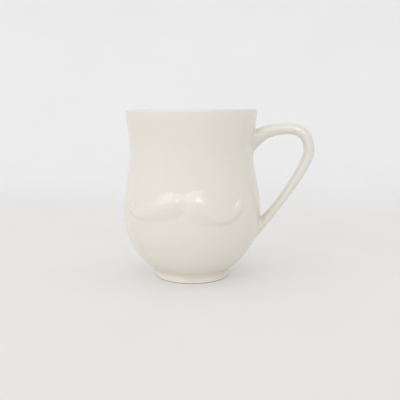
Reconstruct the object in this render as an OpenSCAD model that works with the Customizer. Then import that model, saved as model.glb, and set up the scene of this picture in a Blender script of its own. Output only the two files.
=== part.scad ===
// A glazed stoneware mug with a handlebar moustache in relief.
// Millimetres, +Z up, origin in the middle of the foot on the table.
// The handle stands along +X and the moustache faces -Y.

/* [Cup] */
// Height of the cup from the table to the top of the lip
cup_h = 104; // [98:1:114]
// Outer diameter at the lip
rim_d = 80.5; // [76:0.5:90]
// Outer diameter at the waist, the narrowest place of the wall
waist_d = 76; // [72:0.5:80]
// Height of the waist
waist_z = 80; // [72:1:86]
// Outer diameter at the belly, which is also the ball of the bowl
belly_d = 85.5; // [80:0.5:90]
// Thickness of the wall from the waist down
wall = 3.6; // [2.6:0.1:5]
// Thickness of the wall at the lip
lip_t = 2.6; // [2:0.1:3.6]
// Thickness of the floor
floor_t = 4; // [3:0.1:7]
// Radius of the fillet between the floor and the wall, inside
floor_fillet = 8; // [3:0.5:12]

/* [Foot] */
// Outer diameter of the foot ring
foot_d = 46; // [42:0.5:52]
// Height of the foot ring's straight side
foot_h = 2; // [1.5:0.1:5]
// Radius of the cove that leads the foot ring into the bowl
foot_cove = 5.5; // [3:0.1:7]
// Width of the foot ring below the cove
foot_w = 4.5; // [3:0.1:7]
// Rounding of the two edges that stand on the table
foot_round = 0.5; // [0.3:0.1:1.2]

/* [Handle] */
// Depth of the middle of the upper root below the lip
upper_root_drop = 19.2; // [16:0.1:24]
// Height of the middle of the lower root, on the bowl
lower_root_z = 30.9; // [29.5:0.1:38]
// Depth of the top of the strap, at its crown, below the lip
crown_drop = 8.4; // [5:0.2:11]
// Distance of the crown from the cup's axis
crown_x = 59; // [55:0.5:62]
// Distance of the strap's outermost side from the cup's axis
handle_reach = 75; // [71:0.5:82]
// Depth below the crown at which the strap reaches out furthest
bend_drop = 16.6; // [13:0.2:21]
// Angle above level at which the strap leaves the upper root
upper_rise = 48; // [38:1:54]
// Angle above level at which the strap leaves the lower root
lower_rise = 50; // [44:1:52]
// Thickness of the strap at the upper root
upper_root_t = 9; // [6:0.1:10]
// Thickness of the strap at the crown
crown_t = 7; // [5:0.1:8]
// Thickness of the strap at the outer bend
bend_t = 6.6; // [5:0.1:8]
// Thickness of the strap above the lower root
lower_root_t = 5; // [4:0.1:5.5]
// Thickness that the strap gains where it is pressed on at the lower root
lower_flare = 1.3; // [0:0.1:1.5]
// Width of the strap from side to side
strap_w = 10.5; // [8:0.5:14]

/* [Joints] */
// Reach of the slip fillets along the wall and up the strap
slip_fillet = 2.4; // [1.2:0.1:4]
// Film of slip left between two pieces that are stuck together
slip_film = 0.05; // [0.03:0.01:0.15]

/* [Moustache] */
// Length round the wall from the middle of the moustache to a tip
whisker_l = 36.5; // [32:0.5:42]
// Height of the middle line of the two lobes
lobe_z = 51; // [48:0.5:54]
// Height of the left tip
left_tip_z = 53.5; // [52:0.5:58]
// Height of the right tip
right_tip_z = 53; // [52:0.5:58]
// Height that pulls the left whisker down between its lobe and its tip
left_dip_z = 36; // [34:0.5:40]
// Height that pulls the right whisker down between its lobe and its tip
right_dip_z = 36; // [34:0.5:40]
// Length round the wall by which the left whisker's pull lies beyond its tip
left_dip_out = 2.2; // [-8:0.1:2.5]
// Length round the wall by which the right whisker's pull lies beyond its tip
right_dip_out = -5.8; // [-8:0.1:2.5]
// Width of the left lobe across its middle line
left_lobe_w = 16.4; // [14:0.2:20]
// Width of the right lobe across its middle line
right_lobe_w = 19.4; // [14:0.2:21]
// Width of the two whiskers where they meet
inner_w = 12.4; // [9:0.2:13]
// Width of the tips
tip_w = 3; // [1.2:0.1:4]
// Height of the relief above its edge
relief = 2; // [1.2:0.1:4]
// Thickness of the edge that stands on the wall
edge_t = 0.3; // [0.2:0.05:0.8]

/* [Hidden] */
$fn = 180;

glaze_colour = "#e8e4d9";
relief_colour = "#e4e0d4";
foot_colour = "#d9d0bf";
slip_colour = "#dfdacd";

// Steps along each stretch of a profile, a strap and a whisker
neck_steps = 10;
shoulder_steps = 16;
bowl_steps = 14;
lip_steps = 10;
fillet_steps = 6;
cove_steps = 8;
round_steps = 4;
strap_sides = 24;
arch_steps = [8, 10, 16];
arch_count = len(arch_steps);
whisker_steps = 24;
relief_steps = 14;
seat_steps = 9;

// Radii of the wall, and the ball of the bowl that rests in the foot ring's cove
rim_r = rim_d / 2;
waist_r = waist_d / 2;
belly_r = belly_d / 2;
foot_r = foot_d / 2;
foot_in_r = foot_r - foot_w;
cove_x = foot_r + foot_cove;
ball_drop = sqrt(pow(belly_r + foot_cove, 2) - pow(cove_x, 2));
belly_z = foot_h + ball_drop;
seat_share = belly_r / (belly_r + foot_cove);
seat_r = cove_x * seat_share;
seat_z = belly_z - ball_drop * seat_share;
floor_z = seat_z + floor_t;
lip_z = cup_h - lip_t / 2;

// Inside of the bowl, and the fillet that rolls between it and the floor
inner_r = belly_r - wall;
fillet_z = floor_z + floor_fillet;
fillet_x = sqrt(pow(inner_r - floor_fillet, 2) - pow(belly_z - fillet_z, 2));
fillet_angle = atan2(belly_z - fillet_z, fillet_x);

// Middle line of the strap at its upper root, its crown and its outer bend
upper_root_z = cup_h - upper_root_drop;
crown_z = cup_h - crown_drop;
bend_z = crown_z - bend_drop;
crown = [crown_x, crown_z - crown_t / 2];
bend = [handle_reach - bend_t / 2, bend_z];

// How far each end of an arch pulls on it, as a share of the arch's own span
upper_pull = 0.25;
crown_pull = [0.55, 0.8];
bend_pull = [0.47, 0.15];
lower_pull = 0.59;

// Thicknesses of the strap at the ends of its arches
strap_ts = [upper_root_t, crown_t, bend_t, lower_root_t];

// Share of the last arch over which the strap flares into its lower root
flare_run = 0.25;

// Furthest that a strap is followed into the wall, and the halvings that find the wall's face
sink_run = 16;
wall_halvings = 22;

// Shape of a whisker: where each is fullest along its length, and how it thins out from there
left_lobe_at = 0.14;
right_lobe_at = 0.17;
lobe_round = 0.12;
inner_relief = 0.45;
left_tip_relief = 0.1;
right_tip_relief = 0.45;
taper_power = 1.1;
lobe_pull = 0.38;

// Crest of the relief across a whisker, at the lobe and at the tip, and the stretch in which it moves over
lobe_crest = 0.05;
tip_crest = -0.3;
turn_to_tip = [0.2, 0.55];

// Powers that draw the steep part of each side out to its edge, below at the lobe and at the tip
upper_power = 0.55;
left_lower_powers = [0.85, 0.95];
right_lower_powers = [0.8, 0.65];

function mix(a, b, t) = a + (b - a) * t;

function ease(t) = (1 - cos(180 * t)) / 2;

function reversed(list) = [for (k = [len(list) - 1:-1:0]) list[k]];

function arc(c, r, a0, a1, n) =
    [for (k = [0:n]) let (a = mix(a0, a1, k / n)) c + r * [cos(a), sin(a)]];

function bezier(p, t) =
    p[0] * pow(1 - t, 3) + 3 * p[1] * t * pow(1 - t, 2) + 3 * p[2] * t * t * (1 - t) + p[3] * pow(t, 3);

function bezier_slope(p, t) =
    (p[1] - p[0]) * pow(1 - t, 2) + 2 * (p[2] - p[1]) * t * (1 - t) + (p[3] - p[2]) * t * t;

function unit(v) = v / norm(v);

// Radius of the cup's outer face at a height
function wall_r(z) =
    z > waist_z ? mix(waist_r, rim_r, ease((z - waist_z) / (cup_h - waist_z)))
    : z > belly_z ? mix(belly_r, waist_r, ease((z - belly_z) / (waist_z - belly_z)))
    : sqrt(pow(belly_r, 2) - pow(belly_z - z, 2));

// Thickness of the wall at a height above the belly
function wall_t(z) = mix(wall, lip_t, ease(max(z - waist_z, 0) / (lip_z - waist_z)));

// Half of the cup's cut through its axis
function cup_profile() =
    let (heights = concat(
        [for (k = [0:shoulder_steps - 1]) mix(belly_z, waist_z, k / shoulder_steps)],
        [for (k = [0:neck_steps]) mix(waist_z, lip_z, k / neck_steps)]))
    let (seat_angle = -atan2(belly_z - seat_z, seat_r))
    let (bowl = arc([0, belly_z], belly_r, seat_angle, 0, bowl_steps))
    let (outside = [for (z = heights) [wall_r(z), z]])
    let (lip = arc([wall_r(lip_z) - lip_t / 2, lip_z], lip_t / 2, 0, 180, lip_steps))
    let (inside = [for (z = reversed(heights)) [wall_r(z) - wall_t(z), z]])
    let (well = arc([0, belly_z], inner_r, 0, -fillet_angle, bowl_steps))
    let (corner = arc([fillet_x, fillet_z], floor_fillet, -fillet_angle, -90, fillet_steps))
    concat(
        [[0, seat_z]],
        [for (k = [0:bowl_steps - 1]) bowl[k]],
        outside,
        [for (k = [1:lip_steps - 1]) lip[k]],
        inside,
        [for (k = [1:bowl_steps]) well[k]],
        [for (k = [1:fillet_steps]) corner[k]],
        [[0, floor_z]]
    );

// Half of the foot ring's cut, which takes the bowl's end into a straight side
function foot_profile() =
    let (seat_angle = atan2(ball_drop, -cove_x))
    let (in_c = [foot_in_r + foot_round, foot_round])
    let (out_c = [foot_r - foot_round, foot_round])
    concat(
        arc([cove_x, foot_h], foot_cove, seat_angle, 180, cove_steps),
        arc(out_c, foot_round, 0, -90, round_steps),
        arc(in_c, foot_round, -90, -180, round_steps),
        [[foot_in_r, seat_z]]
    );

// The three arches of the strap's middle line: root to crown, crown to bend, bend to root
upper_root = [wall_r(upper_root_z), upper_root_z];
lower_root = [wall_r(lower_root_z), lower_root_z];
upper_way = [cos(upper_rise), sin(upper_rise)];
lower_way = [cos(lower_rise), sin(lower_rise)];
arches = [
    [
        upper_root,
        upper_root + upper_way * upper_pull * (crown.x - upper_root.x),
        crown - [crown_pull[0] * (crown.x - upper_root.x), 0],
        crown
    ],
    [
        crown,
        crown + [crown_pull[1] * (bend.x - crown.x), 0],
        bend + [0, bend_pull[0] * (crown.y - bend.y)],
        bend
    ],
    [
        bend,
        bend - [0, bend_pull[1] * (bend.y - lower_root.y)],
        lower_root + lower_way * lower_pull * (bend.y - lower_root.y),
        lower_root
    ]
];

// Middle line of the strap: one unit of s for each arch, and straight on into the wall beyond them
function strap_arch(s) = min(max(floor(s), 0), arch_count - 1);

function strap_middle(s) =
    s < 0 ? upper_root + upper_way * s * sink_run
    : s > arch_count ? lower_root - lower_way * (s - arch_count) * sink_run
    : bezier(arches[strap_arch(s)], s - strap_arch(s));

function on_strap(s) = min(max(s, 0), arch_count);

function strap_way(s) =
    let (in_s = on_strap(s))
    unit(bezier_slope(arches[strap_arch(in_s)], in_s - strap_arch(in_s)));

function strap_t(s) =
    let (in_s = on_strap(s))
    let (a = strap_arch(in_s))
    let (flare = max(in_s - arch_count + flare_run, 0) / flare_run)
    mix(strap_ts[a], strap_ts[a + 1], ease(in_s - a)) + lower_flare * ease(flare);

// Point i round the strap's section at s, on a section that is grown by a length and scaled by a share
function strap_point(s, i, grow = 0, share = 1) =
    let (c = strap_middle(s))
    let (w = strap_way(s))
    let (turn = 360 * i / strap_sides)
    let (up = share * (strap_t(s) / 2 + grow) * cos(turn))
    let (side = share * (strap_w / 2 + grow) * sin(turn))
    [c.x - w.y * up, side, c.y + w.x * up];

// Place along the strap where line i comes out of the wall, or out of a face that stands off from it
function leave_wall(i, inner_s, outer_s, off, grow, share, halvings = wall_halvings) =
    let (s = (inner_s + outer_s) / 2)
    let (p = strap_point(s, i, grow, share))
    let (clear = norm([p.x, p.y]) > wall_r(p.z) + off)
    halvings == 0 ? s
    : clear ? leave_wall(i, inner_s, s, off, grow, share, halvings - 1)
    : leave_wall(i, s, outer_s, off, grow, share, halvings - 1);

// Stretch of the strap in which each root is looked for: end 0 is the upper root, end 1 the lower
root_search = [1, 0.6];
inner_ends = [-1, arch_count + 1];
outer_ends = [root_search[0], arch_count - root_search[1]];

// Ring of the strap's section where it meets the wall at one end
function wall_ring_places(end, off, grow = 0, share = 1) =
    [for (i = [0:strap_sides - 1]) leave_wall(i, inner_ends[end], outer_ends[end], off, grow, share)];

function wall_ring(end, off, grow = 0, share = 1) =
    let (places = wall_ring_places(end, off, grow, share))
    [for (i = [0:strap_sides - 1]) strap_point(places[i], i, grow, share)];

function free_ring(s) = [for (i = [0:strap_sides - 1]) strap_point(s, i)];

// Point on the film over the wall, at a place beside the handle's middle plane and a height
function on_wall(y, z) = [sqrt(pow(wall_r(z) + slip_film, 2) - y * y), y, z];

// Faces that the fillets climb on the strap, as heights above the wall
climb = [0, 0.5, 1] * slip_fillet;

// Skin over a row of rings with as many points each, closed by end faces or into a loop
module loft(rings, loop = false) {
    count = len(rings);
    size = len(rings[0]);
    spans = loop ? count : count - 1;
    sides = [
        for (r = [0:spans - 1], i = [0:size - 1])
            let (next = (r + 1) % count * size)
            let (j = (i + 1) % size)
            each [[r * size + i, r * size + j, next + j], [r * size + i, next + j, next + i]]
    ];
    first = [for (i = [size - 1:-1:0]) i];
    last = [for (i = [0:size - 1]) (count - 1) * size + i];
    polyhedron([for (ring = rings) each ring], loop ? sides : concat(sides, [first, last]));
}

module cup_body() {
    color(glaze_colour)
        rotate_extrude()
            polygon(cup_profile());
}

module foot_ring() {
    color(foot_colour)
        rotate_extrude()
            polygon(foot_profile());
}

// Strap with its two ends cut to the wall, and the ends closed in small steps that follow the wall
module handle() {
    cap_shares = [0.03, 0.5];
    clear_s = 0.05;
    roots = [
        for (end = [0, 1])
            concat(
                [for (share = cap_shares) wall_ring(end, slip_film, 0, share)],
                [for (rise = climb) wall_ring(end, slip_film + rise)]
            )
    ];
    first_s = max(wall_ring_places(0, slip_film + slip_fillet)) + clear_s;
    last_s = min(wall_ring_places(1, slip_film + slip_fillet)) - clear_s;
    places = concat(
        [for (k = [0:arch_steps[0] - 1]) mix(first_s, 1, k / arch_steps[0])],
        [for (k = [0:arch_steps[1] - 1]) mix(1, 2, k / arch_steps[1])],
        [for (k = [0:arch_steps[2]]) mix(2, last_s, k / arch_steps[2])]
    );
    color(glaze_colour)
        loft(concat(roots[0], [for (s = places) free_ring(s)], reversed(roots[1])));
}

// Fillet of slip round one root of the strap
module slip_joint(end) {
    hollow = 0.35;
    curve_steps = 4;
    root_z = end == 0 ? upper_root_z : lower_root_z;
    inner = [for (rise = climb) wall_ring(end, slip_film + rise, slip_film)];
    sections = [
        for (i = [0:strap_sides - 1])
            let (corner = inner[0][i])
            let (top = inner[len(climb) - 1][i])
            let (away = unit([corner.y, corner.z - root_z]) * slip_fillet)
            let (foot = on_wall(corner.y + away.x, corner.z + away.y))
            let (halfway = on_wall(corner.y + away.x / 2, corner.z + away.y / 2))
            let (pull = mix(corner, (top + foot) / 2, hollow))
            concat(
                [corner, inner[1][i]],
                [for (k = [0:curve_steps]) let (t = k / curve_steps)
                    top * pow(1 - t, 2) + 2 * pull * t * (1 - t) + foot * t * t],
                [halfway]
            )
    ];
    loft(end == 0 ? sections : reversed(sections), loop = true);
}

module upper_slip_joint() {
    color(slip_colour)
        slip_joint(0);
}

module lower_slip_joint() {
    color(slip_colour)
        slip_joint(1);
}

// Middle line of a whisker on the unrolled wall: length round the belly, height
function whisker_line(dip_out, dip_z, tip_z) = [
    [slip_film / 2, lobe_z],
    [lobe_pull * whisker_l, lobe_z],
    [whisker_l + dip_out, dip_z],
    [whisker_l, tip_z]
];

// Share of the way from the fullest place to the inner end
function inner_way(t, lobe_at) = max(lobe_at - t, 0) / lobe_at;

// Share of the way from the fullest place to the tip, level at first and then straight
function tip_way(t, lobe_at) =
    let (way = max(t - lobe_at, 0) / (1 - lobe_at))
    way * way * (1 + lobe_round) / (way + lobe_round);

function whisker_half_w(t, lobe_w, lobe_at) =
    let (w = t < lobe_at ? mix(lobe_w, inner_w, ease(inner_way(t, lobe_at)))
        : mix(lobe_w, tip_w, pow(tip_way(t, lobe_at), taper_power)))
    w / 2;

function whisker_relief(t, lobe_at, tip_relief) =
    let (inner_fall = (1 - inner_relief) * ease(inner_way(t, lobe_at)))
    let (tip_fall = (1 - tip_relief) * tip_way(t, lobe_at))
    relief * (1 - inner_fall - tip_fall);

// Height of the relief across a whisker, from -1 at the lower edge to 1 at the upper one
function relief_share(t, v, lower_powers) =
    let (turn = ease(min(max((t - turn_to_tip[0]) / (turn_to_tip[1] - turn_to_tip[0]), 0), 1)))
    let (crest = mix(lobe_crest, tip_crest, turn))
    v > crest ? ease(pow((1 - v) / (1 - crest), upper_power))
    : ease(pow((1 + v) / (1 + crest), mix(lower_powers[0], lower_powers[1], turn)));

// Point on the wall's face at a place along a middle line and across it, lifted off the film
function whisker_point(line, t, across, lift) =
    let (way = unit(bezier_slope(line, t)))
    let (p = bezier(line, t) + [-way.y, way.x] * across)
    let (turn = p.x / belly_r * 180 / PI)
    let (r = wall_r(p.y) + slip_film + lift)
    [r * sin(turn), -r * cos(turn), p.y];

function edge_to_edge(k, steps) = 2 * k / steps - 1;

module whisker(line, lobe_w, lobe_at, tip_relief, lower_powers) {
    sections = [
        for (k = [0:whisker_steps])
            let (t = k / whisker_steps)
            let (half_w = whisker_half_w(t, lobe_w, lobe_at))
            let (crest = whisker_relief(t, lobe_at, tip_relief))
            concat(
                [for (i = [0:relief_steps])
                    let (v = edge_to_edge(i, relief_steps))
                    let (lift = edge_t + crest * relief_share(t, v, lower_powers))
                    whisker_point(line, t, v * half_w, lift)],
                [for (i = [seat_steps:-1:0])
                    whisker_point(line, t, edge_to_edge(i, seat_steps) * half_w, 0)]
            )
    ];
    loft(sections);
}

module right_whisker() {
    line = whisker_line(right_dip_out, right_dip_z, right_tip_z);
    color(relief_colour)
        whisker(line, right_lobe_w, right_lobe_at, right_tip_relief, right_lower_powers);
}

module left_whisker() {
    line = whisker_line(left_dip_out, left_dip_z, left_tip_z);
    color(relief_colour)
        mirror([1, 0, 0])
            whisker(line, left_lobe_w, left_lobe_at, left_tip_relief, left_lower_powers);
}

cup_body();
foot_ring();
handle();
upper_slip_joint();
lower_slip_joint();
left_whisker();
right_whisker();
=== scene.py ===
"""Glazed looks for a mug with a handlebar moustache in relief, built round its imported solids."""

import math

import bmesh
import bpy
from bpy.props import FloatProperty, FloatVectorProperty, PointerProperty
from mathutils import Matrix, Vector


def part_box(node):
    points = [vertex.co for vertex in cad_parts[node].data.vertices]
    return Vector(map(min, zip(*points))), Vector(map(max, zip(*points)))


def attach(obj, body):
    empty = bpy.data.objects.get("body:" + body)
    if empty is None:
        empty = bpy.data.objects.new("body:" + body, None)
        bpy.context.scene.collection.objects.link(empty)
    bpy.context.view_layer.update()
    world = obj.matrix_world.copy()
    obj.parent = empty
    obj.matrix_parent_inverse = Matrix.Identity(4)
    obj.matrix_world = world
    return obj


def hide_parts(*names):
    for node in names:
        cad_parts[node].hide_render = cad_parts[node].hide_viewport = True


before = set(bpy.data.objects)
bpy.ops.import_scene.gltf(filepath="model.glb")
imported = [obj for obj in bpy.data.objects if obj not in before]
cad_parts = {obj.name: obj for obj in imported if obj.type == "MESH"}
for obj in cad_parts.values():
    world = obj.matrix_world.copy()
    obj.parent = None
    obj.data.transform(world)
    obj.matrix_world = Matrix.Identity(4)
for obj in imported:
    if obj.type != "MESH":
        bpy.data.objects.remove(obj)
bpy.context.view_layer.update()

bl_info = {
    "name": "Moustache Cup",
    "version": (1, 0, 0),
    "blender": (4, 5, 0),
    "location": "3D View > Sidebar > Cup",
    "description": "Makes a glazed mug with a strap handle and a moustache in relief",
    "category": "Add Mesh",
}

MM = 0.001

# Steps round the cup, along its outline, along the strap, over a whisker and up the backdrop
TURN_STEPS = 192
BOWL_STEPS = 36
SHOULDER_STEPS = 44
NECK_STEPS = 28
LIP_STEPS = 14
FILLET_STEPS = 12
COVE_STEPS = 12
ROUND_STEPS = 6
STRAP_SIDES = 48
ARCH_STEPS = (20, 30, 48)
SLIP_STEPS = 9
WHISKER_STEPS = (150, 56)
SWEEP_STEPS = 24

# Points of a turned piece that lie closer than this become one
MERGE_DISTANCE = 0.0005 * MM
# Faces that meet at more than this angle get a hard edge
SHARP_ANGLE = math.radians(32)

# Sizes of the patterns: the glaze's clouds, its rolling face and its wiped line, the clay's sand,
# and the table's clouds
CLOUD_SIZE = 24 * MM
ROLL_SIZE = 4 * MM
WAVE_SIZE = 7 * MM
SAND_SIZE = 0.5 * MM
TABLE_CLOUD_SIZE = 90 * MM
# Values between which most of a noise lies
NOISE_RANGE = (0.3, 0.7)

# Glaze: how far its clouds shift its depth, and its roughness from clear to cloudy
CLOUD_DRIFT = 0.22
GLAZE_ROUGHNESS = (0.05, 0.09)
GLAZE_IOR = 1.5
# Depth of the bumps on glaze and clay, and how strongly they show on the wall and on the foot
BUMP_DEPTH = 0.06 * MM
WALL_BUMP = 0.25
FOOT_BUMP = 0.3
# Wiped line on the foot: its waviness, and the softness of the glaze's end on either side of it
WIPE_WAVE = 0.2 * MM
WIPE_SOFTNESS = 0.05 * MM
# Bare clay: its roughness, and its lightness from grain to grain
CLAY_ROUGHNESS = 0.85
CLAY_GRAIN = (0.75, 1.2)

# Table: its paint, its clouds' lightness, and the stretch behind the cup, in metres, over which
# its tone turns into the backdrop's
TABLE_ROUGHNESS = 0.7
TABLE_IOR = 1.4
TABLE_CLOUDS = (0.97, 1.03)
TABLE_TO_BACKDROP = (0.2, 0.4)
# Share of the table's tone that is its own where it is seen, and so free of shadow
TABLE_OWN_TONE = 0.35

# Colour and strength of the light from all round, and of the room that the camera and the gloss see
ROOM_LIGHT = ((0.995, 0.998, 1.0, 1), 0.85)
ROOM_SEEN = ((0.81, 0.812, 0.815, 1), 1.0)

# Softboxes: name, degrees round to the handle, degrees up, distance, width and height in metres,
# watts, whether it lights the cup and whether it shows in the gloss
TUBE_ELEVATIONS = (24, 36, 46, 54)
SOFTBOXES = (
    ("left_softbox", -28, 18, 2.0, (2.4, 1.2), 6.6, True, False),
    ("top_softbox", -30, 82, 1.5, (2.0, 2.0), 2.6, True, False),
    ("ceiling_panel", -14, 47, 1.6, (3.8, 1.5), 22, False, True),
    ("front_lamp", 22, 28, 1.0, (0.36, 0.07), 0.7, False, True),
    ("front_shade", 24, 36, 1.1, (0.44, 0.26), 0.8, False, True),
    *(("left_tube", -44, up, 1.0, (0.4, 0.025), 0.22, False, True) for up in TUBE_ELEVATIONS),
)

# Width of the camera's sensor in mm, and the nearest thing that it sees
SENSOR_WIDTH = 36.0
NEAREST_SEEN = 10 * MM


def length(name, description, default):
    """A size in metres that a user may change."""
    return FloatProperty(
        name=name, description=description, default=default, min=0.0, precision=5, unit="LENGTH"
    )


def angle(name, description, degrees):
    """An angle that a user may change."""
    return FloatProperty(
        name=name, description=description, default=math.radians(degrees), subtype="ANGLE"
    )


def linear(hex_colour):
    """Linear red, green and blue of an sRGB hex colour such as "#e8e2d5"."""
    shares = [int(hex_colour[k:k + 2], 16) / 255 for k in (1, 3, 5)]
    return tuple(s / 12.92 if s <= 0.04045 else ((s + 0.055) / 1.055) ** 2.4 for s in shares)


def colour(name, description, hex_colour):
    """A colour that a user may change."""
    return FloatVectorProperty(
        name=name,
        description=description,
        subtype="COLOR",
        size=3,
        min=0.0,
        max=1.0,
        default=linear(hex_colour),
    )


class CupSizes(bpy.types.PropertyGroup):
    """Sizes of the wall, the lip and the floor."""

    height: length("Height", "Table to the top of the lip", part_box("cup_body")[1].z)
    rim_diameter: length("Rim", "Outer diameter at the lip", 80.5 * MM)
    waist_diameter: length("Waist", "Outer diameter at the narrowest place", 76 * MM)
    waist_height: length("Waist height", "Height of the narrowest place", 80 * MM)
    belly_diameter: length("Belly", "Outer diameter of the bowl", 85.5 * MM)
    wall: length("Wall", "Thickness of the wall from the waist down", 3.6 * MM)
    lip: length("Lip", "Thickness of the wall at the lip", 2.6 * MM)
    floor: length("Floor", "Thickness of the floor", 4 * MM)
    floor_fillet: length("Floor fillet", "Radius between the floor and the wall", 8 * MM)


class FootSizes(bpy.types.PropertyGroup):
    """Sizes of the ring that the cup stands on."""

    diameter: length("Diameter", "Outer diameter of the foot ring", 46 * MM)
    height: length("Height", "Height of the ring's straight side", 2 * MM)
    cove: length("Cove", "Radius of the cove into the bowl", 5.5 * MM)
    width: length("Width", "Width of the ring below the cove", 4.5 * MM)
    rounding: length("Rounding", "Rounding of the standing edges", 0.5 * MM)
    # The bare band is also tall enough that its dark clay paints the contact shadow line under the
    # foot
    bare_and_shadow_height: length("Bare clay", "Height to which the standing edge is wiped bare", 0.5 * MM)


class HandleSizes(bpy.types.PropertyGroup):
    """Sizes of the pulled strap and of the slip that sticks it on."""

    upper_root_height: length("Upper root", "Height of the upper root", 84.8 * MM)
    lower_root_height: length("Lower root", "Height of the lower root", 30.9 * MM)
    crown_height: length("Crown height", "Height of the top of the strap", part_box("handle")[1].z)
    crown_distance: length("Crown", "Distance of the crown from the axis", 59 * MM)
    reach: length("Reach", "Distance of the outermost side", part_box("handle")[1].x)
    bend_height: length("Bend height", "Height of the outermost side", 79 * MM)
    upper_rise: angle("Upper rise", "Angle above level at the upper root", 48)
    lower_rise: angle("Lower rise", "Angle above level at the lower root", 50)
    upper_thickness: length("Upper thickness", "Thickness of the strap at its upper root", 9 * MM)
    crown_thickness: length("Crown thickness", "Thickness at the crown", 7 * MM)
    bend_thickness: length("Bend thickness", "Thickness at the outer bend", 6.6 * MM)
    lower_thickness: length("Lower thickness", "Thickness above the lower root", 5 * MM)
    lower_flare: length("Lower flare", "Thickness gained at the pressed-on lower root", 1.3 * MM)
    width: length("Width", "Width of the strap from side to side", 10.5 * MM)
    slip_fillet: length("Slip fillet", "Reach of the slip round the roots", 2.4 * MM)


class MoustacheSizes(bpy.types.PropertyGroup):
    """Sizes of the two whiskers."""

    reach: length("Reach", "Length round the wall from the middle to a tip", 36.5 * MM)
    lobe_height: length("Lobe height", "Height of the middle line of the lobes", 51 * MM)
    left_tip: length("Left tip", "Height of the left tip", 53.5 * MM)
    right_tip: length("Right tip", "Height of the right tip", 53 * MM)
    left_dip: length("Left dip", "Height that pulls the left whisker down", 36 * MM)
    right_dip: length("Right dip", "Height that pulls the right whisker down", 36 * MM)
    left_dip_reach: length("Left dip reach", "Length round the wall to the left dip", 38.7 * MM)
    right_dip_reach: length("Right dip reach", "Length round the wall to the right dip", 30.7 * MM)
    left_lobe: length("Left lobe", "Width of the left lobe", 16.4 * MM)
    right_lobe: length("Right lobe", "Width of the right lobe", 19.4 * MM)
    inner_width: length("Inner width", "Width of the whiskers where they meet", 12.4 * MM)
    tip_width: length("Tip width", "Width of a tip", 3 * MM)
    relief: length("Relief", "Height of a lobe above the wall", 2.3 * MM)


class FinishColours(bpy.types.PropertyGroup):
    """Colours of the glaze, the clay and the stage."""

    glaze_even: colour("Glaze", "Glaze of even depth on the wall", "#e9e4d8")
    glaze_pooled: colour("Pooled glaze", "Glaze that ran into creases", "#e6e1d4")
    # Also painted light: the lower side of the foot ring takes this paler colour
    glaze_thin_and_lit: colour("Thin glaze", "Glaze drawn thin on lips and edges", "#f5f1e8")
    # Bare clay, which also paints the contact shadow line along the foot's bottom edge
    bare_clay_and_shadow: colour("Bare clay", "Fired clay of the standing edge", "#b8a98f")
    table: colour("Table", "Pale table", "#eae9e7")
    backdrop: colour("Backdrop", "Pale backdrop behind the table", "#ededee")


class StageSettings(bpy.types.PropertyGroup):
    """Where the camera stands."""

    camera_distance: length("Distance", "Camera to the cup's axis, level", 361.3 * MM)
    camera_height: length("Height", "Camera above the table", 104.4 * MM)
    camera_round: angle("Round", "How far the camera stands round to the handle's side", 7.3)
    camera_pitch: angle("Pitch", "How far the camera looks down", 8.937)
    camera_yaw: angle("Yaw", "How far the camera looks to the right of the axis", 0.79)
    camera_roll: angle("Roll", "How far the camera leans to its left", -0.35)
    lens: FloatProperty(
        name="Lens", description="Focal length on a 36 mm sensor, in mm", default=52.4, unit="CAMERA"
    )


def mix(a, b, share):
    """Goes from a to b as the share goes from 0 to 1."""
    return a + (b - a) * share


def ease(share):
    """Rises from 0 to 1 with a level start and end."""
    share = min(max(share, 0.0), 1.0)
    return (1 - math.cos(math.pi * share)) / 2


def arc(x, z, radius, start, end, steps):
    """Points on an arc about (x, z), from one angle to another in degrees."""
    turns = [math.radians(mix(start, end, k / steps)) for k in range(steps + 1)]
    return [(x + radius * math.cos(a), z + radius * math.sin(a)) for a in turns]


def bezier(p, t):
    """Point on the curve of four points p, from t = 0 at its start to 1 at its end."""
    u = 1 - t
    return p[0] * u**3 + 3 * p[1] * t * u * u + 3 * p[2] * t * t * u + p[3] * t**3


def bezier_slope(p, t):
    """Way that the curve of four points p takes at t, not to scale."""
    u = 1 - t
    return (p[1] - p[0]) * u * u + 2 * (p[2] - p[1]) * t * u + (p[3] - p[2]) * t * t


class WallShape:
    """The wall's outline, worked out from the sizes of the cup and the foot."""

    def __init__(self, scene):
        cup, foot = scene.cup_sizes, scene.foot_sizes
        self.top = cup.height
        self.rim = cup.rim_diameter / 2
        self.waist = cup.waist_diameter / 2
        self.waist_z = cup.waist_height
        self.belly = cup.belly_diameter / 2
        self.wall = cup.wall
        self.lip = cup.lip
        self.lip_z = cup.height - cup.lip / 2
        self.foot = foot.diameter / 2
        self.foot_in = self.foot - foot.width
        self.cove_x = self.foot + foot.cove
        self.drop = math.sqrt((self.belly + foot.cove) ** 2 - self.cove_x**2)
        self.belly_z = foot.height + self.drop
        seat_share = self.belly / (self.belly + foot.cove)
        self.seat = self.cove_x * seat_share
        self.seat_z = self.belly_z - self.drop * seat_share
        self.floor_z = self.seat_z + cup.floor

    def radius(self, z):
        """Outer radius at a height."""
        if z > self.waist_z:
            flare = ease((z - self.waist_z) / (self.top - self.waist_z))
            return mix(self.waist, self.rim, flare)
        if z > self.belly_z:
            shoulder = ease((z - self.belly_z) / (self.waist_z - self.belly_z))
            return mix(self.belly, self.waist, shoulder)
        return math.sqrt(self.belly**2 - (self.belly_z - z) ** 2)

    def thickness(self, z):
        return mix(self.wall, self.lip, ease((z - self.waist_z) / (self.lip_z - self.waist_z)))

    def at(self, turn, z, lift=0.0):
        """Point on the wall or lifted from it, at an angle round from the front to the handle."""
        r = self.radius(z) + lift
        return Vector((r * math.sin(turn), -r * math.cos(turn), z))

    def beside_handle(self, y, z, lift=0.0):
        """Point on the handle's side of the wall, at a distance from the handle's middle plane."""
        return Vector((math.sqrt((self.radius(z) + lift) ** 2 - y * y), y, z))


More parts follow.
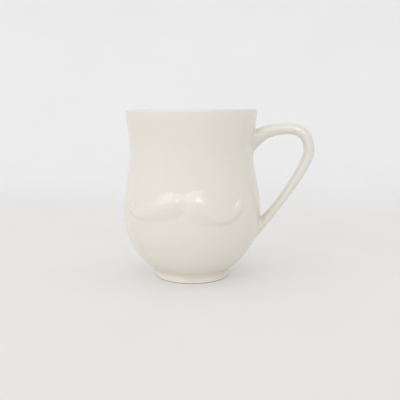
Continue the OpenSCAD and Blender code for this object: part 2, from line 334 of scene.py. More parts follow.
def cup_outline(wall, cup):
    """Half of the cup's cut, from under the middle of its floor round the lip to the floor's top."""
    heights = [mix(wall.belly_z, wall.waist_z, k / SHOULDER_STEPS) for k in range(SHOULDER_STEPS)]
    heights += [mix(wall.waist_z, wall.lip_z, k / NECK_STEPS) for k in range(NECK_STEPS + 1)]
    inner = wall.belly - wall.wall
    fillet_z = wall.floor_z + cup.floor_fillet
    fillet_x = math.sqrt((inner - cup.floor_fillet) ** 2 - (wall.belly_z - fillet_z) ** 2)
    fillet_angle = -math.degrees(math.atan2(wall.belly_z - fillet_z, fillet_x))
    seat_angle = -math.degrees(math.atan2(wall.belly_z - wall.seat_z, wall.seat))
    lip_x = wall.radius(wall.lip_z) - wall.lip / 2
    bowl = arc(0, wall.belly_z, wall.belly, seat_angle, 0, BOWL_STEPS)
    outside = [(wall.radius(z), z) for z in heights]
    lip = arc(lip_x, wall.lip_z, wall.lip / 2, 0, 180, LIP_STEPS)
    inside = [(wall.radius(z) - wall.thickness(z), z) for z in reversed(heights)]
    well = arc(0, wall.belly_z, inner, 0, fillet_angle, BOWL_STEPS)
    corner = arc(fillet_x, fillet_z, cup.floor_fillet, fillet_angle, -90, FILLET_STEPS)
    return [
        (0, wall.seat_z),
        *bowl[:-1],
        *outside,
        *lip[1:-1],
        *inside,
        *well[1:],
        *corner[1:],
        (0, wall.floor_z),
    ]


def foot_outline(wall, foot):
    """Cut through the foot ring: down its cove and side, under it and up inside."""
    seat_angle = math.degrees(math.atan2(wall.drop, -wall.cove_x))
    rounding = foot.rounding
    return [
        *arc(wall.cove_x, foot.height, foot.cove, seat_angle, 180, COVE_STEPS),
        *arc(wall.foot - rounding, rounding, rounding, 0, -90, ROUND_STEPS),
        *arc(wall.foot_in + rounding, rounding, rounding, -90, -180, ROUND_STEPS),
        (wall.foot_in, wall.seat_z),
    ]


class StrapShape:
    """The strap's middle line in three arches, and its section."""

    # How far each end of an arch pulls on it, as a share of the arch's own span
    UPPER_PULL = 0.25
    CROWN_PULL = (0.55, 0.8)
    BEND_PULL = (0.47, 0.15)
    LOWER_PULL = 0.59
    # Share of the last arch over which the strap flares into its lower root
    FLARE_RUN = 0.25
    # Run of the strap into the wall, and the halvings that find the wall's face
    SINK = 16 * MM
    HALVINGS = 26
    # Stretch of the strap in which each root is looked for
    ROOT_STRETCH = ((-1.0, 1.0), (4.0, 2.4))

    def __init__(self, wall, sizes):
        self.wall = wall
        self.sizes = sizes
        self.count = len(ARCH_STEPS)
        self.thicknesses = (
            sizes.upper_thickness, sizes.crown_thickness, sizes.bend_thickness, sizes.lower_thickness
        )
        self.upper = Vector((wall.radius(sizes.upper_root_height), sizes.upper_root_height))
        self.lower = Vector((wall.radius(sizes.lower_root_height), sizes.lower_root_height))
        self.upper_way = Vector((math.cos(sizes.upper_rise), math.sin(sizes.upper_rise)))
        self.lower_way = Vector((math.cos(sizes.lower_rise), math.sin(sizes.lower_rise)))
        crown = Vector((sizes.crown_distance, sizes.crown_height - sizes.crown_thickness / 2))
        bend = Vector((sizes.reach - sizes.bend_thickness / 2, sizes.bend_height))
        run = crown.x - self.upper.x
        drop = bend.y - self.lower.y
        self.arches = (
            (
                self.upper,
                self.upper + self.upper_way * self.UPPER_PULL * run,
                crown - Vector((self.CROWN_PULL[0] * run, 0)),
                crown,
            ),
            (
                crown,
                crown + Vector((self.CROWN_PULL[1] * (bend.x - crown.x), 0)),
                bend + Vector((0, self.BEND_PULL[0] * (crown.y - bend.y))),
                bend,
            ),
            (
                bend,
                bend - Vector((0, self.BEND_PULL[1] * drop)),
                self.lower + self.lower_way * self.LOWER_PULL * drop,
                self.lower,
            ),
        )

    def arch_place(self, s):
        """The arch that a place on the strap lies in, and how far along that arch it is."""
        s = min(max(s, 0.0), self.count)
        arch = min(int(s), self.count - 1)
        return arch, s - arch

    def thickness(self, s):
        arch, t = self.arch_place(s)
        even = mix(self.thicknesses[arch], self.thicknesses[arch + 1], ease(t))
        flare = ease((arch + t - self.count + self.FLARE_RUN) / self.FLARE_RUN)
        return even + self.sizes.lower_flare * flare

    def middle(self, s):
        """Middle line: one unit of s for each arch, and straight on into the wall beyond them."""
        if s < 0:
            return self.upper + self.upper_way * s * self.SINK
        if s > self.count:
            return self.lower - self.lower_way * (s - self.count) * self.SINK
        arch, t = self.arch_place(s)
        return bezier(self.arches[arch], t)

    def way(self, s):
        arch, t = self.arch_place(s)
        return bezier_slope(self.arches[arch], t).normalized()

    def point(self, s, side, grow=0.0):
        """Point on the strap's face at s, on one of its lengthwise lines."""
        turn = 2 * math.pi * side / STRAP_SIDES
        up = (self.thickness(s) / 2 + grow) * math.cos(turn)
        across = (self.sizes.width / 2 + grow) * math.sin(turn)
        c, w = self.middle(s), self.way(s)
        return Vector((c.x - w.y * up, across, c.y + w.x * up))

    def root_place(self, end, side, off, grow=0.0):
        """Place along the strap where one of its lines leaves a face that stands off the wall."""
        inner, outer = self.ROOT_STRETCH[end]
        for _ in range(self.HALVINGS):
            s = (inner + outer) / 2
            p = self.point(s, side, grow)
            if p.xy.length > self.wall.radius(p.z) + off:
                outer = s
            else:
                inner = s
        return s

    def root_ring(self, end, off, grow=0.0):
        """Points at which all of the strap's lines leave that face."""
        sides = range(STRAP_SIDES)
        return [self.point(self.root_place(end, k, off, grow), k, grow) for k in sides]


class WhiskerShape:
    """One whisker laid out on the unrolled wall and lifted from it as a soft relief."""

    # Side -1 is the left whisker and side 1 the right one
    # Share of the length at which each is fullest, and what is left of its relief at its ends
    LOBE_AT = {-1: 0.14, 1: 0.17}
    INNER_RELIEF = 0.45
    TIP_RELIEF = {-1: 0.14, 1: 0.45}
    # How the width tapers, how far the middle line stays level, and how softly the taper starts
    TAPER_POWER = 1.1
    LOBE_PULL = 0.38
    LOBE_ROUND = 0.12
    # Where the crest runs across the whisker, at its lobe and towards its tip
    LOBE_CREST = 0.05
    TIP_CREST = -0.3
    # Stretch of the length over which the lobe gives way to the tip
    TURN_TO_TIP = (0.2, 0.55)
    # Powers that draw the steep part out to the edge, above, and below at the lobe and the tip
    UPPER_POWER = 0.55
    LOWER_POWERS = {-1: (0.85, 0.95), 1: (0.8, 0.65)}
    # Share of the length over which the tip is rounded off
    TIP_ROUND = 0.1
    # Depth of the whisker's edge and back under the face of the wall
    EDGE_SINK = 0.02 * MM
    BACK_SINK = 0.5 * MM

    def __init__(self, wall, sizes, side, dip, tip, lobe):
        self.wall = wall
        self.sizes = sizes
        self.side = side
        self.lobe = lobe
        self.lobe_at = self.LOBE_AT[side]
        self.tip_relief = self.TIP_RELIEF[side]
        self.lower_powers = self.LOWER_POWERS[side]
        self.line = (
            Vector((0, sizes.lobe_height)),
            Vector((self.LOBE_PULL * sizes.reach, sizes.lobe_height)),
            Vector(dip),
            Vector((sizes.reach, tip)),
        )

    def inner_way(self, t):
        """Rises from 0 at the lobe to 1 where the whiskers meet."""
        return max(self.lobe_at - t, 0) / self.lobe_at

    def tip_way(self, t):
        """Rises from 0 at the lobe to 1 at the tip, level at first and then straight."""
        way = max(t - self.lobe_at, 0) / (1 - self.lobe_at)
        return way * way * (1 + self.LOBE_ROUND) / (way + self.LOBE_ROUND)

    def tip_rounding(self, t):
        """Falls from 1 to 0 over the rounded end of the tip."""
        past = max(t - 1 + self.TIP_ROUND, 0) / self.TIP_ROUND
        return math.sqrt(max(1 - past * past, 0.0))

    def half_width(self, t):
        inner = mix(self.lobe, self.sizes.inner_width, ease(self.inner_way(t)))
        outer = mix(self.lobe, self.sizes.tip_width, self.tip_way(t) ** self.TAPER_POWER)
        return (inner if t < self.lobe_at else outer) / 2

    def crest(self, t):
        """Height of the crest above the wall."""
        inner_fall = (1 - self.INNER_RELIEF) * ease(self.inner_way(t))
        tip_fall = (1 - self.tip_relief) * self.tip_way(t)
        return self.sizes.relief * (1 - inner_fall - tip_fall) * self.tip_rounding(t)

    def share(self, t, v):
        """Height across the whisker: soft at the lobe, with a crisp underside at the tip."""
        start, end = self.TURN_TO_TIP
        turn = ease((t - start) / (end - start))
        crest = mix(self.LOBE_CREST, self.TIP_CREST, turn)
        if v > crest:
            return ease(((1 - v) / (1 - crest)) ** self.UPPER_POWER)
        return ease(((1 + v) / (1 + crest)) ** mix(*self.lower_powers, turn))

    def place(self, t, v):
        """Place on the unrolled wall, at t along the whisker and v across it from -1 to 1."""
        way = bezier_slope(self.line, t).normalized()
        return bezier(self.line, t) + Vector((-way.y, way.x)) * v * self.half_width(t)

    def point(self, t, v, lift):
        p = self.place(t, v)
        return self.wall.at(self.side * p.x / self.wall.belly, p.y, lift)

    def face_point(self, t, v):
        return self.point(t, v, self.crest(t) * self.share(t, v) - self.EDGE_SINK)

    def back_point(self, t, v):
        return self.point(t, v, -self.BACK_SINK)


def draw_outline(bm, points, closed=False):
    """Pulls one vertex along an outline of (radius, height) points and returns what it leaves."""
    first = bmesh.ops.create_vert(bm, co=(points[0][0], 0, points[0][1]))["vert"][0]
    drawn, last = [first], first
    for x, z in points[1:]:
        pulled = bmesh.ops.extrude_vert_indiv(bm, verts=[last])
        last = pulled["verts"][0]
        last.co = (x, 0, z)
        drawn += pulled["verts"] + pulled["edges"]
    if closed:
        drawn += bmesh.ops.contextual_create(bm, geom=[last, first])["edges"]
    return drawn


def turn_on_wheel(bm, drawn):
    """Turns a drawn outline once round the cup's axis."""
    bmesh.ops.spin(
        bm,
        geom=drawn,
        cent=(0, 0, 0),
        axis=(0, 0, 1),
        angle=2 * math.pi,
        steps=TURN_STEPS,
        use_merge=True,
    )
    bmesh.ops.remove_doubles(bm, verts=bm.verts, dist=MERGE_DISTANCE)


def pull_strap(bm, rings, loop=False):
    """Pulls a circle through a row of rings, then closes its ends or joins the last to the first."""
    line = bm.verts.layers.int.new("line")
    verts = bmesh.ops.create_circle(bm, segments=STRAP_SIDES, radius=1.0)["verts"]
    for k, vert in enumerate(verts):
        vert[line] = k
        vert.co = rings[0][k]
    edges = list({edge for vert in verts for edge in vert.link_edges})
    first_edges = edges
    for ring in rings[1:]:
        pulled = bmesh.ops.extrude_edge_only(bm, edges=edges)["geom"]
        edges = [g for g in pulled if isinstance(g, bmesh.types.BMEdge)]
        for vert in (g for g in pulled if isinstance(g, bmesh.types.BMVert)):
            vert.co = ring[vert[line]]
    if loop:
        bmesh.ops.bridge_loops(bm, edges=edges + first_edges)
    else:
        bmesh.ops.holes_fill(bm, edges=edges + first_edges, sides=0)


def finish_piece(bm, scene, name, node, material=None):
    """Makes a bmesh a piece, with its glaze depth and the painted light carried with it, its finish
    and its place in the frame.
    """
    bmesh.ops.recalc_face_normals(bm, faces=bm.faces)
    depth_and_light = GlazeDepthAndLight(scene)
    layer = bm.verts.layers.float.new("glaze_depth_and_light")
    for vert in bm.verts:
        vert[layer] = depth_and_light(vert.co)
    mesh = bpy.data.meshes.new(name)
    bm.to_mesh(mesh)
    bm.free()
    mesh.shade_smooth()
    mesh.set_sharp_from_angle(angle=SHARP_ANGLE)
    mesh.materials.append(material or glaze_of(scene))
    piece = bpy.data.objects.new(name, mesh)
    scene.collection.objects.link(piece)
    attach(piece, "root")
    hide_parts(node)


class GlazeDepthAndLight:
    """How deep the glaze lies: 0 where it is drawn thin, 0.5 on the wall and 1 where it pooled.

    It also falls to 0 towards the bottom of the foot ring, which paints the ring's lower side
    lighter as painted light.
    """

    EVEN = 0.5
    # Run over which it thins on the lip and how far it does so there, and the run up from the table
    # over which the foot ring is painted lighter, as painted light
    LIP_RUN = 2.2 * MM
    LIP_SHARE = 0.4
    FOOT_LIGHT_RUN = 6 * MM
    # Runs over which it pools in the cove and round the roots
    COVE_RUN = 3 * MM
    ROOT_RUN = 5 * MM

    def __init__(self, scene):
        self.wall = WallShape(scene)
        heights = (scene.handle_sizes.upper_root_height, scene.handle_sizes.lower_root_height)
        self.roots = [self.wall.beside_handle(0, z) for z in heights]
        self.root_size = scene.handle_sizes.upper_thickness

    def __call__(self, co):
        lip = ease((co.z - self.wall.top + self.LIP_RUN) / self.LIP_RUN)
        # Painted light: the foot ring's lower side is given thin glaze, so it shows lighter
        edge = ease(1 - co.z / self.FOOT_LIGHT_RUN)
        cove = ease(1 - abs(co.z - self.wall.seat_z) / self.COVE_RUN)
        nearest = min((co - root).length for root in self.roots)
        root = ease((self.root_size + self.ROOT_RUN - nearest) / self.ROOT_RUN)
        return self.EVEN + (max(cove, root) - max(lip * self.LIP_SHARE, edge)) * (1 - self.EVEN)


def add_node(tree, kind, inputs=(), **settings):
    """Adds a node with its settings, and sets or links its inputs, each a (name or index, value)."""
    node = tree.nodes.new(kind)
    for key, value in settings.items():
        setattr(node, key, value)
    for key, value in inputs:
        if isinstance(value, bpy.types.NodeSocket):
            tree.links.new(value, node.inputs[key])
        else:
            node.inputs[key].default_value = value
    return node


def start_material(name):
    """A material with its tree, its Object coordinates and its shader."""
    material = bpy.data.materials.new(name)
    material.use_nodes = True
    tree = material.node_tree
    shader = tree.nodes["Principled BSDF"]
    place = add_node(tree, "ShaderNodeTexCoord").outputs["Object"]
    return material, tree, place, shader


def pattern_scale(size):
    """Scale of a noise on Object coordinates whose features are that many metres across."""
    return 1 / size


def coat_with_glaze(tree, place, colours):
    """Nodes of the glaze: its colour, roughness and height sockets."""
    cloud = add_node(
        tree,
        "ShaderNodeTexNoise",
        [("Vector", place), ("Scale", pattern_scale(CLOUD_SIZE)), ("Detail", 3.0)],
    ).outputs["Fac"]
    depth_and_light = add_node(tree, "ShaderNodeAttribute", attribute_name="glaze_depth_and_light").outputs["Fac"]
    drift = add_node(
        tree,
        "ShaderNodeMapRange",
        [
            ("Value", cloud),
            ("From Min", NOISE_RANGE[0]),
            ("From Max", NOISE_RANGE[1]),
            ("To Min", -CLOUD_DRIFT),
            ("To Max", CLOUD_DRIFT),
        ],
    ).outputs["Result"]
    drifted = add_node(
        tree, "ShaderNodeMath", [(0, depth_and_light), (1, drift)], operation="ADD", use_clamp=True
    ).outputs["Value"]
    ramp = add_node(tree, "ShaderNodeValToRGB", [("Fac", drifted)])
    stops = ramp.color_ramp.elements
    # The thin stop also paints light on the lower side of the foot ring
    stops[0].color = (*colours.glaze_thin_and_lit, 1)
    stops[1].color = (*colours.glaze_pooled, 1)
    stops.new(GlazeDepthAndLight.EVEN).color = (*colours.glaze_even, 1)
    roughness = add_node(
        tree,
        "ShaderNodeMapRange",
        [
            ("Value", cloud),
            ("From Min", NOISE_RANGE[0]),
            ("From Max", NOISE_RANGE[1]),
            ("To Min", GLAZE_ROUGHNESS[0]),
            ("To Max", GLAZE_ROUGHNESS[1]),
        ],
    ).outputs["Result"]
    roll = add_node(
        tree,
        "ShaderNodeTexNoise",
        [("Vector", place), ("Scale", pattern_scale(ROLL_SIZE)), ("Detail", 1.0)],
    ).outputs["Fac"]
    return ramp.outputs["Color"], roughness, roll


def cream_glaze(colours):
    """Glossy cream glaze, dipped and fired over pale clay.

    To the eye: a wet gloss with a faintly rolling face, a shade deeper where it ran into creases
    and a shade lighter where it drew thin on the lip.
    """
    material, tree, place, shader = start_material("cream_glaze")
    base, roughness, height = coat_with_glaze(tree, place, colours)
    bump = add_node(
        tree,
        "ShaderNodeBump",
        [("Height", height), ("Strength", WALL_BUMP), ("Distance", BUMP_DEPTH)],
    )
    tree.links.new(base, shader.inputs["Base Color"])
    tree.links.new(roughness, shader.inputs["Roughness"])
    tree.links.new(bump.outputs["Normal"], shader.inputs["Normal"])
    shader.inputs["IOR"].default_value = GLAZE_IOR
    return material


def wiped_foot(colours, foot):
    """Cream glaze wiped off the standing edge, which shows the bare fired clay.

    To the eye: the same gloss as the wall, ending in a slightly wavy line above a dry, sandy rim.
    The glaze is painted lighter towards the table as painted light, and the rim's dark clay also
    paints the contact shadow line under the foot.
    """
    material, tree, place, shader = start_material("wiped_foot")
    base, roughness, height = coat_with_glaze(tree, place, colours)
    up = add_node(tree, "ShaderNodeSeparateXYZ", [("Vector", place)]).outputs["Z"]
    wave = add_node(
        tree,
        "ShaderNodeTexNoise",
        [("Vector", place), ("Scale", pattern_scale(WAVE_SIZE)), ("Detail", 2.0)],
    ).outputs["Fac"]
    line = add_node(
        tree,
        "ShaderNodeMath",
        [(0, wave), (1, WIPE_WAVE), (2, foot.bare_and_shadow_height - WIPE_WAVE / 2)],
        operation="MULTIPLY_ADD",
    ).outputs["Value"]
    above = add_node(
        tree, "ShaderNodeMath", [(0, up), (1, line)], operation="SUBTRACT"
    ).outputs["Value"]
    glazed = add_node(
        tree,
        "ShaderNodeMapRange",
        [("Value", above), ("From Min", -WIPE_SOFTNESS), ("From Max", WIPE_SOFTNESS)],
        interpolation_type="SMOOTHSTEP",
    ).outputs["Result"]
    sand = add_node(
        tree,
        "ShaderNodeTexNoise",
        [("Vector", place), ("Scale", pattern_scale(SAND_SIZE)), ("Detail", 2.0)],
    ).outputs["Fac"]
    grain = add_node(
        tree,
        "ShaderNodeMapRange",
        [("Value", sand), ("To Min", CLAY_GRAIN[0]), ("To Max", CLAY_GRAIN[1])],
    ).outputs["Result"]
    # Bare clay, also painted shadow: it draws the contact shadow line where the foot meets the table
    clay = add_node(
        tree,
        "ShaderNodeVectorMath",
        [(0, tuple(colours.bare_clay_and_shadow)), ("Scale", grain)],
        operation="SCALE",
    ).outputs["Vector"]
    coat = add_node(
        tree, "ShaderNodeMix", [(0, glazed), (6, clay), (7, base)], data_type="RGBA"
    ).outputs[2]
    dry = add_node(
        tree, "ShaderNodeMix", [(0, glazed), (2, CLAY_ROUGHNESS), (3, roughness)]
    ).outputs[0]
    face = add_node(tree, "ShaderNodeMix", [(0, glazed), (2, sand), (3, height)]).outputs[0]
    bump = add_node(
        tree, "ShaderNodeBump", [("Height", face), ("Strength", FOOT_BUMP), ("Distance", BUMP_DEPTH)]
    )
    tree.links.new(coat, shader.inputs["Base Color"])
    tree.links.new(dry, shader.inputs["Roughness"])
    tree.links.new(bump.outputs["Normal"], shader.inputs["Normal"])
    shader.inputs["IOR"].default_value = GLAZE_IOR
    return material


def glaze_of(scene):
    """The glaze that all pieces but the foot share, made once."""
    return bpy.data.materials.get("cream_glaze") or cream_glaze(scene.finish_colours)


class CUP_OT_body(bpy.types.Operator):
    """Turns the wall, the lip, the bowl and the floor as one shell"""

    bl_idname = "mesh.cup_body"
    bl_label = "Cup Body"

    def execute(self, context):
        scene = context.scene
        bm = bmesh.new()
        outline = cup_outline(WallShape(scene), scene.cup_sizes)
        turn_on_wheel(bm, draw_outline(bm, outline))
        finish_piece(bm, scene, "turned_body", "cup_body")
        return {"FINISHED"}


class CUP_OT_foot(bpy.types.Operator):
    """Turns the foot ring with its cove and its bare standing edge"""

    bl_idname = "mesh.cup_foot"
    bl_label = "Foot Ring"

    def execute(self, context):
        scene = context.scene
        bm = bmesh.new()
        outline = foot_outline(WallShape(scene), scene.foot_sizes)
        turn_on_wheel(bm, draw_outline(bm, outline, closed=True))
        finish = wiped_foot(scene.finish_colours, scene.foot_sizes)
        finish_piece(bm, scene, "turned_foot", "foot_ring", finish)
        return {"FINISHED"}


class CUP_OT_handle(bpy.types.Operator):
    """Pulls the strap from root to root, with its ends cut to the wall"""

    bl_idname = "mesh.cup_handle"
    bl_label = "Handle"

    # Rings of a root between the wall and the top of its slip fillet
    root_rings = 4
    # Room along the strap between the last slanted ring and the first square one
    free_s = 0.03

    def execute(self, context):
        scene = context.scene
        sizes = scene.handle_sizes
        strap = StrapShape(WallShape(scene), sizes)
        rises = [sizes.slip_fillet * k / self.root_rings for k in range(self.root_rings + 1)]
        upper, lower = [[strap.root_ring(end, rise) for rise in rises] for end in (0, 1)]
        sides = range(STRAP_SIDES)
        first = max(strap.root_place(0, k, sizes.slip_fillet) for k in sides) + self.free_s
        last = min(strap.root_place(1, k, sizes.slip_fillet) for k in sides) - self.free_s
        places = [mix(first, 1, k / ARCH_STEPS[0]) for k in range(ARCH_STEPS[0])]
        places += [mix(1, 2, k / ARCH_STEPS[1]) for k in range(ARCH_STEPS[1])]
        places += [mix(2, last, k / ARCH_STEPS[2]) for k in range(ARCH_STEPS[2] + 1)]
        free = [[strap.point(s, k) for k in sides] for s in places]
        bm = bmesh.new()
        pull_strap(bm, upper + free + lower[::-1])
        finish_piece(bm, scene, "pulled_handle", "handle")
        return {"FINISHED"}


class CUP_OT_slip_joints(bpy.types.Operator):
    """Smooths a hollow fillet of slip round each root of the strap"""

    bl_idname = "mesh.cup_slip_joints"
    bl_label = "Slip Joints"

    # Depth by which the thin edges of the slip lie under the wall and the strap
    feather = 0.03 * MM

    def execute(self, context):
        scene = context.scene
        sizes = scene.handle_sizes
        wall = WallShape(scene)
        strap = StrapShape(wall, sizes)
        reach = sizes.slip_fillet
        ends = (("upper", sizes.upper_root_height), ("lower", sizes.lower_root_height))
        for end, (name, root_z) in enumerate(ends):
            corner = strap.root_ring(end, -self.feather, -self.feather)
            top = strap.root_ring(end, reach, -self.feather)
            foot = []
            for c in corner:
                away = Vector((c.y, c.z - root_z)).normalized() * reach
                foot.append(wall.beside_handle(c.y + away.x, c.z + away.y, -self.feather))
            rings = [corner]
            for k in range(SLIP_STEPS + 1):
                t = k / SLIP_STEPS
                rings.append([
                    a * (1 - t) ** 2 + b * 2 * t * (1 - t) + c * t * t
                    for a, b, c in zip(top, corner, foot)
                ])
            bm = bmesh.new()
            pull_strap(bm, rings, loop=True)
            finish_piece(bm, scene, f"{name}_slip", f"{name}_slip_joint")
        return {"FINISHED"}


class CUP_OT_whiskers(bpy.types.Operator):
    """Lays the two whiskers on the wall as a relief that runs out softly into it"""

    bl_idname = "mesh.cup_whiskers"
    bl_label = "Whiskers"

    def execute(self, context):
        scene = context.scene
        sizes = scene.moustache_sizes
        wall = WallShape(scene)
        lines = (
            ("left", -1, (sizes.left_dip_reach, sizes.left_dip), sizes.left_tip, sizes.left_lobe),
            ("right", 1, (sizes.right_dip_reach, sizes.right_dip), sizes.right_tip, sizes.right_lobe),
        )
        for name, side, dip, tip, lobe in lines:
            whisker = WhiskerShape(wall, sizes, side, dip, tip, lobe)
            bm = bmesh.new()
            along, across = WHISKER_STEPS
            bmesh.ops.create_grid(bm, x_segments=along, y_segments=across, size=1)
            lifted = bmesh.ops.extrude_face_region(bm, geom=bm.faces[:])["geom"]
            front = {g for g in lifted if isinstance(g, bmesh.types.BMVert)}
            for vert in bm.verts:
                t, v = (vert.co.x + 1) / 2, vert.co.y
                vert.co = whisker.face_point(t, v) if vert in front else whisker.back_point(t, v)
            finish_piece(bm, scene, f"{name}_whisker_relief", f"{name}_whisker")
        return {"FINISHED"}


def seen_rays(tree):
    """1 for rays that show things, from the camera, in gloss or through glass, and 0 for light."""
    path = add_node(tree, "ShaderNodeLightPath").outputs
    seen = path["Is Camera Ray"]
    for ray in ("Is Glossy Ray", "Is Transmission Ray"):
        seen = add_node(
            tree, "ShaderNodeMath", [(0, seen), (1, path[ray])], operation="MAXIMUM"
        ).outputs["Value"]
    return seen


def table_board(colours):
    """Matt white painted board, rolled on.

    To the eye: an even pale grey with a faint cloudiness and no gloss. Where it is seen, part of
    its tone is its own, which keeps the shadow on it pale.
    """
    material, tree, place, shader = start_material("table_board")
    cloud = add_node(
        tree,
        "ShaderNodeTexNoise",
        [("Vector", place), ("Scale", pattern_scale(TABLE_CLOUD_SIZE)), ("Detail", 4.0)],
    ).outputs["Fac"]
    behind = add_node(tree, "ShaderNodeSeparateXYZ", [("Vector", place)]).outputs["Y"]
    far = add_node(
        tree,
        "ShaderNodeMapRange",
        [("Value", behind), ("From Min", TABLE_TO_BACKDROP[0]), ("From Max", TABLE_TO_BACKDROP[1])],
        interpolation_type="SMOOTHSTEP",
    ).outputs["Result"]
    tone = add_node(
        tree,
        "ShaderNodeMix",
        [(0, far), (6, (*colours.table, 1)), (7, (*colours.backdrop, 1))],
        data_type="RGBA",
    ).outputs[2]
    shade = add_node(
        tree,
        "ShaderNodeMapRange",
        [("Value", cloud), ("To Min", TABLE_CLOUDS[0]), ("To Max", TABLE_CLOUDS[1])],
    ).outputs["Result"]
    paint = add_node(
        tree, "ShaderNodeVectorMath", [(0, tone), ("Scale", shade)], operation="SCALE"
    ).outputs["Vector"]
    tree.links.new(paint, shader.inputs["Base Color"])
    shader.inputs["Roughness"].default_value = TABLE_ROUGHNESS
    shader.inputs["IOR"].default_value = TABLE_IOR
    own_share = add_node(
        tree, "ShaderNodeMath", [(0, seen_rays(tree)), (1, TABLE_OWN_TONE)], operation="MULTIPLY"
    ).outputs["Value"]
    own = add_node(tree, "ShaderNodeEmission", [("Color", paint), ("Strength", 1.0)])
    both = add_node(
        tree,
        "ShaderNodeMixShader",
        [(0, own_share), (1, shader.outputs["BSDF"]), (2, own.outputs["Emission"])],
    )
    tree.links.new(both.outputs["Shader"], tree.nodes["Material Output"].inputs["Surface"])
    material.cycles.emission_sampling = "NONE"
    return material


def add_softbox(scene, aim, name, azimuth, elevation, distance, size, watts, lights, mirrored):
    """A softbox aimed at the cup, which lights it, shows in its gloss, or both."""
    lamp = bpy.data.lights.new(name, "AREA")
    lamp.shape = "RECTANGLE"
    lamp.size, lamp.size_y = size
    lamp.energy = watts
    box = bpy.data.objects.new(name, lamp)
    a, e = math.radians(azimuth), math.radians(elevation)
    way = Vector((math.sin(a) * math.cos(e), -math.cos(a) * math.cos(e), math.sin(e)))
    box.location = aim + way * distance
    box.rotation_euler = way.to_track_quat("Z", "Y").to_euler()
    box.visible_diffuse = lights
    box.visible_glossy = mirrored
    scene.collection.objects.link(box)


def light_room(scene):
    """Even soft light from all round, and a pale room for the camera and for reflections."""
    world = bpy.data.worlds.new("pale_room")
    world.use_nodes = True
    tree = world.node_tree
    tree.nodes.clear()
    light, room = [
        add_node(
            tree, "ShaderNodeBackground", [("Color", tone), ("Strength", strength)]
        ).outputs["Background"]
        for tone, strength in (ROOM_LIGHT, ROOM_SEEN)
    ]
    both = add_node(tree, "ShaderNodeMixShader", [(0, seen_rays(tree)), (1, light), (2, room)])
    add_node(tree, "ShaderNodeOutputWorld", [("Surface", both.outputs["Shader"])])
    scene.world = world


def set_camera(scene):
    """Camera at the photograph's viewing angle."""
    stage = scene.stage_settings
    data = bpy.data.cameras.new("camera")
    data.sensor_width = SENSOR_WIDTH
    data.lens = stage.lens
    data.clip_start = NEAREST_SEEN
    camera = bpy.data.objects.new("camera", data)
    stand = Matrix.Rotation(stage.camera_round, 4, "Z") @ Vector(
        (0, -stage.camera_distance, stage.camera_height)
    )
    camera.matrix_world = (
        Matrix.Translation(stand)
        @ Matrix.Rotation(stage.camera_round - stage.camera_yaw, 4, "Z")
        @ Matrix.Rotation(math.pi / 2 - stage.camera_pitch, 4, "X")
        @ Matrix.Rotation(stage.camera_roll, 4, "Z")
    )
    scene.collection.objects.link(camera)
    scene.camera = camera


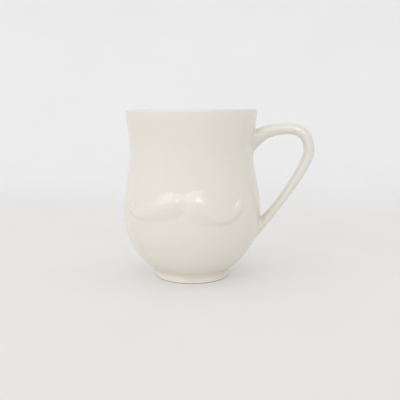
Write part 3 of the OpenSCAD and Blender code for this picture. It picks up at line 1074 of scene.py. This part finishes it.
class CUP_OT_stage(bpy.types.Operator):
    """Sets the pale table and backdrop, the soft light and the camera"""

    bl_idname = "scene.cup_stage"
    bl_label = "Stage"

    # Table before and behind the cup, sweep, and the backdrop's height and half width, in metres
    table_front = 1.6
    table_back = 0.28
    sweep_radius = 0.25
    backdrop_height = 1.5
    half_width = 2.0

    def execute(self, context):
        scene = context.scene
        bm = bmesh.new()
        back, radius = self.table_back, self.sweep_radius
        outline = [
            (-self.table_front, 0),
            *arc(back, radius, radius, -90, 0, SWEEP_STEPS),
            (back + radius, self.backdrop_height),
        ]
        drawn = draw_outline(bm, outline)
        quarter_turn = Matrix.Rotation(math.pi / 2, 3, "Z")
        bmesh.ops.rotate(bm, verts=bm.verts, cent=(0, 0, 0), matrix=quarter_turn)
        bmesh.ops.translate(bm, verts=bm.verts, vec=(-self.half_width, 0, 0))
        edges = [g for g in drawn if isinstance(g, bmesh.types.BMEdge)]
        pulled = bmesh.ops.extrude_edge_only(bm, edges=edges)["geom"]
        far = [g for g in pulled if isinstance(g, bmesh.types.BMVert)]
        bmesh.ops.translate(bm, verts=far, vec=(2 * self.half_width, 0, 0))
        bmesh.ops.recalc_face_normals(bm, faces=bm.faces)
        mesh = bpy.data.meshes.new("table_sweep")
        bm.to_mesh(mesh)
        bm.free()
        mesh.shade_smooth()
        mesh.materials.append(table_board(scene.finish_colours))
        sweep = bpy.data.objects.new("table_sweep", mesh)
        scene.collection.objects.link(sweep)
        aim = Vector((0, 0, scene.cup_sizes.height / 2))
        for softbox in SOFTBOXES:
            add_softbox(scene, aim, *softbox)
        light_room(scene)
        set_camera(scene)
        scene.view_settings.view_transform = "Standard"
        return {"FINISHED"}


class CUP_PT_sidebar(bpy.types.Panel):
    """Lists the cup's sizes, its colours and the steps that make it"""

    bl_idname = "CUP_PT_sidebar"
    bl_label = "Moustache Cup"
    bl_space_type = "VIEW_3D"
    bl_region_type = "UI"
    bl_category = "Cup"

    def draw(self, context):
        for heading, name, group, operators in SIDEBAR:
            box = self.layout.box()
            box.label(text=heading)
            settings = getattr(context.scene, name)
            for key in group.__annotations__:
                box.prop(settings, key)
            for operator in operators:
                box.operator(operator.bl_idname)


SIDEBAR = (
    ("Body", "cup_sizes", CupSizes, (CUP_OT_body,)),
    ("Foot", "foot_sizes", FootSizes, (CUP_OT_foot,)),
    ("Handle", "handle_sizes", HandleSizes, (CUP_OT_handle, CUP_OT_slip_joints)),
    ("Moustache", "moustache_sizes", MoustacheSizes, (CUP_OT_whiskers,)),
    ("Colours", "finish_colours", FinishColours, ()),
    ("Stage", "stage_settings", StageSettings, (CUP_OT_stage,)),
)


def register():
    for _, name, group, operators in SIDEBAR:
        bpy.utils.register_class(group)
        setattr(bpy.types.Scene, name, PointerProperty(type=group))
        for operator in operators:
            bpy.utils.register_class(operator)
    bpy.utils.register_class(CUP_PT_sidebar)


def unregister():
    bpy.utils.unregister_class(CUP_PT_sidebar)
    for _, name, group, operators in reversed(SIDEBAR):
        for operator in operators:
            bpy.utils.unregister_class(operator)
        delattr(bpy.types.Scene, name)
        bpy.utils.unregister_class(group)


def main():
    register()
    bpy.ops.scene.cup_stage()
    bpy.ops.mesh.cup_body()
    bpy.ops.mesh.cup_foot()
    bpy.ops.mesh.cup_handle()
    bpy.ops.mesh.cup_slip_joints()
    bpy.ops.mesh.cup_whiskers()


if __name__ == "__main__":
    main()
